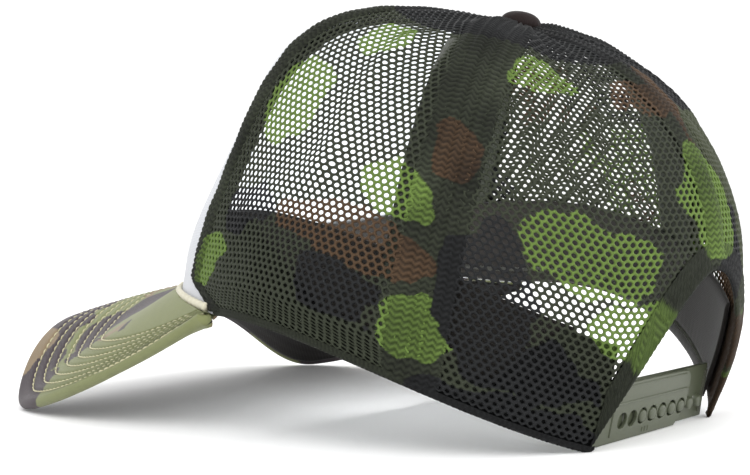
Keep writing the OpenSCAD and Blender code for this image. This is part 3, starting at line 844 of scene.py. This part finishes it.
def visor_mid(q, s):
    q, s = np.broadcast_arrays(np.asarray(q, float), np.asarray(s, float))
    root, rim = root_point(q), rim_point(q)
    points = root + (rim - root) * s[..., None]
    points[..., 2] += VISOR_CAMBER * 4 * s * (1 - s) * cosd(90 * q)
    return points


def visor_normal(q, s):
    q, s = np.broadcast_arrays(np.asarray(q, float), np.asarray(s, float))
    side = visor_mid(np.minimum(q + 0.01, 0.999), s) - visor_mid(np.maximum(q - 0.01, -0.999), s)
    back = visor_mid(q, np.maximum(s - 0.02, 0)) - visor_mid(q, np.minimum(s + 0.02, 1))
    return unit(np.cross(side, back))


def visor_span(q):
    return np.maximum(np.linalg.norm(rim_point(q) - root_point(q), axis=-1), 1)


ROWS = [VISOR_MARGIN + ROW_GAP * k for k in range(STITCH_ROWS)]
# Dark and light patches on the visor: x and y from the visor's ends' middle, half sizes, colour
SAGE, TAN, DUSK = linear(117, 122, 81), linear(127, 110, 85), linear(56, 46, 51)
VISOR_PATCHES = [
    (78, -128, 17, 20, DUSK), (60, -138, 12, 8, TAN), (30, -132, 16, 14, DUSK),
    (88, -30, 9, 30, SAGE), (66, -60, 6, 34, SAGE), (86, -64, 8, 40, SAGE), (58, -100, 9, 12, DUSK),
    (84, -118, 13, 17, DUSK), (40, -70, 14, 26, DUSK), (70, -96, 4, 12, DUSK),
    (-60, -96, 20, 26, DUSK),
    (-20, -100, 18, 16, TAN), (-80, -40, 9, 22, DUSK), (0, -62, 22, 12, DUSK),
]


def visor_colour(points):
    colour = camouflage(points, (26, 8), (SAGE, TAN, SAGE, DUSK), 55)
    wobble = 9 * (noise(points, 12, 61) - 0.5)
    other = 9 * (noise(points, 12, 62) - 0.5)
    for x, y, half_x, half_y, tone in VISOR_PATCHES:
        reach = ((points[..., 0] + wobble - x) / half_x) ** 2
        reach = reach + ((points[..., 1] + other - SHIFT[1] - VISOR_Y - y) / half_y) ** 2
        colour[reach < 1] = tone
    return colour


def row_relief(w, along):
    """Height of the quilted visor cloth, w inside the rim: rows pull it in, with puckers"""
    total = np.zeros(w.shape)
    for k, row in enumerate(ROWS):
        near = w - row
        total = total - 0.75 * np.exp(-((near / 0.9) ** 2))
        pucker = np.sin(along * 2 * np.pi / 3.4 + 1.7 * k + 3 * np.sin(along / 17))
        total = total + 0.2 * pucker * np.exp(-((np.abs(near) - 1.6) / 1.3) ** 2)
    return total + 0.15


def even_q(count, end):
    """Values of q from -end to end, evenly along the rim and a little closer at its ends"""
    fine = 1 - (1 - np.linspace(0, 1, 6000)) ** 3
    fine = np.concatenate([-fine[::-1], fine[1:]]) * end
    run = run_along(rim_point(fine))
    return np.interp(np.linspace(0, run[-1], count), run, fine)


def rim_outward(q, normal):
    """Square to the rim, away from the visor"""
    step = 0.3 * (1 - np.abs(q)) + 1e-6
    tangent = rim_point(q + step * 0.5) - rim_point(q - step * 0.5)
    return unit(np.cross(tangent, normal))


def end_cap(column, a):
    """The cloth's last columns at one end: they close on the end of the crown's seam"""
    middle = column.mean(0)
    end = crown(np.array([a]), np.zeros(1))[0] + crown_normal(np.array([a]), np.zeros(1))[0] * 0.6
    share = np.array([0.25, 0.5, 0.72, 0.88, 1.0])[:, None, None]
    return middle + (end - middle) * share + (column - middle)[None] * np.sqrt(1.02 - share**2)


def make_visor_top():
    q = even_q(521, 0.9995)
    span = visor_span(q)
    edge_r = BOARD_T / 2 + COVER_T
    normal = visor_normal(q, np.full(len(q), 0.9))
    outward = rim_outward(q, normal)
    line = unit(rim_point(q) - root_point(q))
    square = np.maximum(np.abs((outward * line).sum(-1)), 0.15)
    straight = 1 - np.minimum(1.4 / (span * square), 0.6)
    share = np.linspace(0, 1, 170)
    tucked = -np.minimum(4 / span, 0.5) * np.clip((span - 12) / 20, 0, 1)
    s = tucked[:, None] + (straight - tucked)[:, None] * share[None, :]
    qq = np.broadcast_to(q[:, None], s.shape)
    w = (1 - s) * span[:, None]
    rim_run = run_along(rim_point(q))
    along = rim_run[:, None] * (0.35 + 0.65 * s)
    relief = row_relief(w, along) * np.clip(span[:, None] / 20, 0, 1)
    top = visor_mid(qq, s) + visor_normal(qq, s) * (edge_r + relief)[..., None]
    normal = visor_normal(q, straight)
    middle = visor_mid(q, straight)
    angles = np.linspace(90, -90, 13)[1:]
    roll = [
        middle + normal * edge_r * float(sind(k)) + outward * (edge_r - 0.1) * float(cosd(k))
        for k in angles
    ]
    tuck = [middle - normal * edge_r - outward * n for n in (1.2, 2.4)]
    grid = np.concatenate([top, np.stack(roll + tuck, 1)], 1) + SHIFT
    grid = np.concatenate([end_cap(grid[0], 180 - SEAM_A)[::-1], grid, end_cap(grid[-1], SEAM_A)])
    pad = (len(grid) - len(rim_run)) // 2
    rim_run = np.pad(rim_run, pad, "edge")
    uv = np.stack([np.broadcast_to(rim_run[:, None], grid.shape[:2]),
                   np.broadcast_to(np.arange(grid.shape[1])[None, :] * 0.8, grid.shape[:2])], -1)
    made = piece("visor_top_cover", grid.reshape(-1, 3), quads(*grid.shape[:2])[:, ::-1],
                 CAMO_TWILL, "camo_twill", replaces=["visor_top_cloth"],
                 tint=visor_colour(grid).reshape(-1, 3), grain=uv.reshape(-1, 2))
    declare_sheet(lengths(grid))
    make_visor_under(q, span, square, along)


def make_visor_under(q, span, square, along):
    """The dark lower cover, along the same lines as the upper one"""
    edge_r = BOARD_T / 2 + COVER_T
    under_share = np.linspace(0.005, 1, 60)
    s = (1 - np.minimum(3.0 / (span * square), 0.7))[:, None] * under_share[None, :]
    qq = np.broadcast_to(q[:, None], s.shape)
    w = (1 - s) * span[:, None]
    dip = 0.12 * sum(np.exp(-(((w - row) / 0.9) ** 2)) for row in ROWS)
    under = visor_mid(qq, s) - visor_normal(qq, s) * (edge_r + 0.15 - dip)[..., None] + SHIFT
    inner = visor_mid(qq, s) - visor_normal(qq, s) * (BOARD_T / 2 + 0.1) + SHIFT
    made = piece("visor_under_cover", *slab(under, inner), UNDER_CLOTH, "under_cloth",
                 replaces=["visor_under_cloth"],
                 grain=doubled(np.stack([along[:, :60], w], -1)))
    declare_sheet(lengths(under))


def stitch_run(path, normals, pitch, length, radius, sides=6, rise=0.3):
    """Single stitches along a path: each starts and ends in the cloth and rises between"""
    run = run_along(path)
    starts = np.arange(0.5, run[-1] - length, pitch)
    steps = np.linspace(0, 1, 6)
    where = starts[:, None] + steps[None, :] * length
    points = np.stack([np.interp(where, run, path[:, n]) for n in range(3)], -1)
    up = unit(np.stack([np.interp(where, run, normals[:, n]) for n in range(3)], -1))
    lift = rise * np.sin(np.pi * steps) - 0.55 * rise
    points = points + up * lift[None, :, None]
    size = radius * (0.72 + 0.28 * np.sin(np.pi * steps))
    return tubes(points, up, np.broadcast_to(size, points.shape[:2]), sides)


def joined(parts):
    """Several points-and-faces pairs as one"""
    points, faces, first = [], [], 0
    for p, f in parts:
        points.append(p)
        faces += [tuple(int(n) + first for n in face) for face in f]
        first += len(p)
    return np.concatenate(points), faces


def make_visor_stitching():
    q = even_q(1601, 0.999)
    span = visor_span(q)
    parts = []
    for row in ROWS:
        s = 1 - row / span
        kept = s > 0.03
        normal = visor_normal(q[kept], s[kept])
        path = visor_mid(q[kept], s[kept]) + normal * (BOARD_T / 2 + COVER_T - 0.28) + SHIFT
        parts.append(stitch_run(path, normal, 3.4, 2.9, 0.33))
    piece("visor_thread", *joined(parts), THREAD, "thread", replaces=["visor_stitching"])


def make_piping():
    count, sides = 260, 12
    q = np.linspace(-0.985, 0.985, count)
    a = -90 + (90 + SEAM_A) * q
    t = t_at(a, 1.6)
    path = plain(a, t, 1.0)
    radius = 1.5 + 0.12 * np.sin(np.arange(count) * 1.3)
    piece("visor_piping", *tubes(path[None], crown_normal(a, t)[None], radius[None], sides, 0.7),
          PIPING, "piping", replaces=["visor_seam_piping"],
          grain=np.repeat(np.stack([np.arange(count) * 1.2, 0 * q], -1), sides, 0))


# ---- button and rivet
def make_button():
    normal = (AXIS_TOP - AXIS_FOOT) / AXIS_LEN
    centre = AXIS_TOP + SHIFT + normal * BUTTON_LIFT
    side = np.array([1.0, 0, 0])
    other = np.cross(normal, side)
    turns, rings = 64, 22
    profile = []
    for k in range(rings):
        f = k / (rings - 1)
        angle = math.radians(-35 + 125 * f)
        profile.append((BUTTON_D / 2 * math.cos(angle) ** 0.9, BUTTON_H * math.sin(angle)))
    points, faces = [], []
    for i in range(turns):
        turn = 2 * math.pi * i / turns
        out = side * math.cos(turn) + other * math.sin(turn)
        for k, (r, h) in enumerate(profile):
            gather = 1 + 0.02 * math.sin(9 * turn) * (1 - k / rings)
            points.append(centre + out * max(r * gather, 0.02) + normal * max(h, -1.0))
    for i in range(turns):
        for k in range(rings - 1):
            n, m = i * rings + k, (i + 1) % turns * rings + k
            faces.append((n, m, m + 1, n + 1))
    faces.append(tuple(i * rings + rings - 1 for i in range(turns)))
    faces.append(tuple(i * rings for i in range(turns))[::-1])
    points = np.array(points)
    grain = np.stack([(points - centre) @ side, (points - centre) @ other], -1)
    piece("button_cover", points, faces, BUTTON_CLOTH, "button_cloth", replaces=["button_cap"],
          grain=grain)


# ---- strap
def strap_place():
    """From the strap's own frame, x across the back, y outwards and z up, to the row frame"""
    turn = Matrix.Rotation(math.radians(-STRAP_TILT), 4, "X")
    return Matrix.Translation((0, FRAME_Y + CORNER_Y - STRAP_BACK, FLOOR_GAP)) @ turn


def placed(points):
    m = np.array(strap_place())
    return np.asarray(points) @ m[:3, :3].T + m[:3, 3]


def strap_outward():
    return (placed([(0, 1, 0)]) - placed([(0, 0, 0)]))[0]


def arc(cx, cz, r, a0, a1, steps=8):
    return [(cx + r * math.cos(math.radians(a0 + (a1 - a0) * k / steps)),
             cz + r * math.sin(math.radians(a0 + (a1 - a0) * k / steps))) for k in range(steps + 1)]


def plate(outline, holes, y_mid, thick, bevel):
    """Points and faces of a flat plate with round holes and rounded edges"""
    curve = bpy.data.curves.new("plate", "CURVE")
    curve.dimensions = "2D"
    curve.fill_mode = "BOTH"
    curve.extrude = thick / 2 - bevel
    curve.bevel_depth = bevel
    curve.bevel_resolution = 3
    loops = [outline] + [arc(x, z, HOLE_D / 2 + bevel, 0, 360 - 360 / 32, 31) for x, z in holes]
    for loop in loops:
        line = curve.splines.new("POLY")
        line.points.add(len(loop) - 1)
        for point, (x, z) in zip(line.points, loop):
            point.co = (x, z, 0, 1)
        line.use_cyclic_u = True
    curve.offset = -bevel
    made = bpy.data.objects.new("plate", curve)
    bpy.context.scene.collection.objects.link(made)
    bpy.context.view_layer.update()
    mesh = made.evaluated_get(bpy.context.evaluated_depsgraph_get()).to_mesh()
    points = np.array([v.co[:] for v in mesh.vertices])
    faces = [tuple(p.vertices) for p in mesh.polygons]
    bpy.data.objects.remove(made)
    bpy.data.curves.remove(curve)
    points = np.stack([points[:, 0], y_mid - points[:, 2], points[:, 1]], -1)
    return placed(points), faces


def ridge(path, y, radius):
    """A raised line on a strap's outer face, through (x, z) points"""
    corners = np.array([(x, y, z) for x, z in path], float)
    run = run_along(corners)
    fine = np.linspace(0, run[-1], 60)
    points = np.stack([np.interp(fine, run, corners[:, n]) for n in range(3)], -1)
    out = np.broadcast_to(strap_outward(), points.shape)
    return tubes(placed(points)[None], out[None], radius, 8)


def peg(x, z, y0, length):
    """A peg with a rounded end that stands out of the strap"""
    turns, profile = 28, [(PEG_D / 2 + 0.25, 0), (PEG_D / 2, 0.25), (PEG_D / 2, length - 0.5),
                          (PEG_D / 2 - 0.15, length - 0.15), (PEG_D / 2 - 0.6, length),
                          (0.02, length + 0.05)]
    points = [(x + r * math.cos(2 * math.pi * i / turns), y0 + h,
               z + r * math.sin(2 * math.pi * i / turns)) for i in range(turns) for r, h in profile]
    count = len(profile)
    faces = [(i * count + k, i * count + k + 1, (i + 1) % turns * count + k + 1,
              (i + 1) % turns * count + k) for i in range(turns) for k in range(count - 1)]
    return placed(points), faces


def bar_tack(x, y, sign):
    """Closely sewn bar of thread that holds a strap's end"""
    stitches, normals = [], []
    for k in range(26):
        z = 2.5 + k * 0.56
        reach = np.linspace(-1.1, 1.1, 6)
        lift = 0.22 * np.cos(reach / 1.1 * np.pi / 2)
        stitches.append([(sign * (x + r), y + h, z + 0.25 * r) for r, h in zip(reach, lift)])
    stitches = np.array([placed(s) for s in stitches])
    return tubes(stitches, np.broadcast_to(strap_outward(), stitches.shape), 0.24, 6)


STRAP_SEWN_X = HINGE_X + TAB_LEN
OUTER_Y, INNER_Y = STRAP_GAP / 2, -STRAP_GAP / 2 - STRAP_T
OUTER_FACE_Y, INNER_FACE_Y = OUTER_Y + STRAP_T, INNER_Y + STRAP_T
STRAP_ROUND, STRAP_BEVEL = 4, 0.3


def make_hole_strap():
    outline = [(STRAP_SEWN_X, 0), (STRAP_SEWN_X - 2, STRAP_H)]
    outline += arc(-STRAP_END + STRAP_ROUND, STRAP_H - STRAP_ROUND, STRAP_ROUND, 90, 180)
    outline += [(-STRAP_END, 6.5), (-STRAP_END + 6, 0)]
    holes = [(FIRST_HOLE_X - k * HOLE_PITCH, HOLE_Z) for k in range(HOLE_COUNT)]
    line = [(24.5, 2.2), (24.5, 11), (23.2, 12.6), (-STRAP_END + 1.2, 12.6)]
    top = STRAP_H - 1.1
    parts = [plate(outline, holes, OUTER_Y + STRAP_T / 2, STRAP_T, STRAP_BEVEL),
             ridge(line, OUTER_FACE_Y, 0.38)]
    parts += [ridge([(x, 1.1), (x, 2.7)], OUTER_FACE_Y, 0.25) for x in (4.4, 2.6, 0.8)]
    parts.append(ridge([(STRAP_SEWN_X - 3, top), (-STRAP_END + STRAP_ROUND, top)], OUTER_FACE_Y, 0.3))
    piece("hole_strap_moulding", *joined(parts), STRAP_PLASTIC, "strap_plastic", "outer_strap",
          replaces=["hole_strap"])


def make_peg_strap():
    tip = FIRST_HOLE_X + 4
    outline = [(-STRAP_SEWN_X + 2, STRAP_H), (-STRAP_SEWN_X, 0), (FIRST_HOLE_X - 2, 0), (tip, 6.5)]
    outline += arc(tip - STRAP_ROUND, STRAP_H - STRAP_ROUND, STRAP_ROUND, 0, 90)
    parts = [plate(outline, [], INNER_Y + STRAP_T / 2, STRAP_T, STRAP_BEVEL)]
    length = STRAP_GAP + STRAP_T + 0.5
    parts += [peg(FIRST_HOLE_X - (k + 2) * HOLE_PITCH, HOLE_Z, INNER_FACE_Y, length)
              for k in range(HOLE_COUNT)]
    piece("peg_strap_moulding", *joined(parts), STRAP_PLASTIC, "strap_plastic", "inner_strap",
          replaces=["peg_strap"])


def make_strap_stitches():
    x = HINGE_X + 3.4
    piece("left_bar_tack", *bar_tack(x, OUTER_FACE_Y + 0.05, 1), DARK_THREAD, "dark_thread",
          "outer_strap", replaces=["left_strap_stitches"])
    piece("right_bar_tack", *bar_tack(x, INNER_FACE_Y + 0.05, -1), DARK_THREAD, "dark_thread",
          "inner_strap", replaces=["right_strap_stitches"])


# ---- stage, light and camera
def make_stage():
    bpy.ops.mesh.primitive_plane_add(size=8, location=(0, 0, 0))
    floor = bpy.context.object
    floor.name = "floor"
    made, _, shader = new_material("floor_paper")
    shader.inputs["Base Color"].default_value = (0.93, 0.93, 0.93, 1)
    shader.inputs["Roughness"].default_value = 0.9
    floor.data.materials.append(made)
    world = bpy.context.scene.world or bpy.data.worlds.new("world")
    bpy.context.scene.world = world
    world.use_nodes = True
    sky = world.node_tree.nodes["Background"]
    sky.inputs["Color"].default_value = (1, 1, 1, 1)
    sky.inputs["Strength"].default_value = 1.12


def area_light(name, place, target, size, power):
    data = bpy.data.lights.new(name, "AREA")
    data.shape = "DISK"
    data.size = size
    data.energy = power
    lamp = bpy.data.objects.new(name, data)
    bpy.context.scene.collection.objects.link(lamp)
    lamp.location = place
    aim = Vector(target) - Vector(place)
    lamp.rotation_euler = aim.to_track_quat("-Z", "Y").to_euler()
    lamp.visible_camera = False


def make_lights():
    area_light("key", (0.9, 0.35, 1.0), (0, 0, 0.06), 0.8, 6)
    area_light("fill", (-0.8, 0.9, 0.7), (0, 0, 0.06), 0.9, 5)
    area_light("back", (-0.7, -0.9, 0.8), (0, 0, 0.06), 1.0, 5)
    area_light("inside", (0, 0.05, 0.035), (0, -0.02, 0.11), 0.08, 0.12)
    area_light("window", (0.5, 1.0, 0.7), (0, 0, 0.08), 0.7, 6)


def make_camera():
    azimuth, elevation, roll = math.radians(41.167), math.radians(1.499), math.radians(-1.625)
    distance, target = 0.52984, Vector((-0.013185, -0.011521, 0.063353))
    sight = Vector((math.cos(azimuth) * math.cos(elevation),
                    math.sin(azimuth) * math.cos(elevation), math.sin(elevation)))
    right = (-sight).cross(Vector((0, 0, 1))).normalized()
    up = right.cross(-sight)
    turned = right * math.cos(roll) + up * math.sin(roll)
    upright = up * math.cos(roll) - right * math.sin(roll)
    data = bpy.data.cameras.new("camera")
    data.sensor_width = 36
    data.lens = 65.07
    data.clip_start = 0.01
    camera = bpy.data.objects.new("camera", data)
    bpy.context.scene.collection.objects.link(camera)
    axes = Matrix((turned, upright, sight)).transposed().to_4x4()
    camera.matrix_world = Matrix.Translation(target + sight * distance) @ axes
    bpy.context.scene.camera = camera
    bpy.context.scene.view_settings.view_transform = "Standard"


make_camera()
make_stage()
make_lights()
make_mesh_panels()
make_seam_folds()
make_edges()
make_tapes()
make_front()
make_sweatband()
make_visor_top()
make_visor_stitching()
make_piping()
make_button()
make_hole_strap()
make_peg_strap()
make_strap_stitches()

for node, look in (("visor_board", BOARD), ("button_rivet", METAL), ("button_washer", METAL)):
    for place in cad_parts[node].material_slots:
        place.material = look
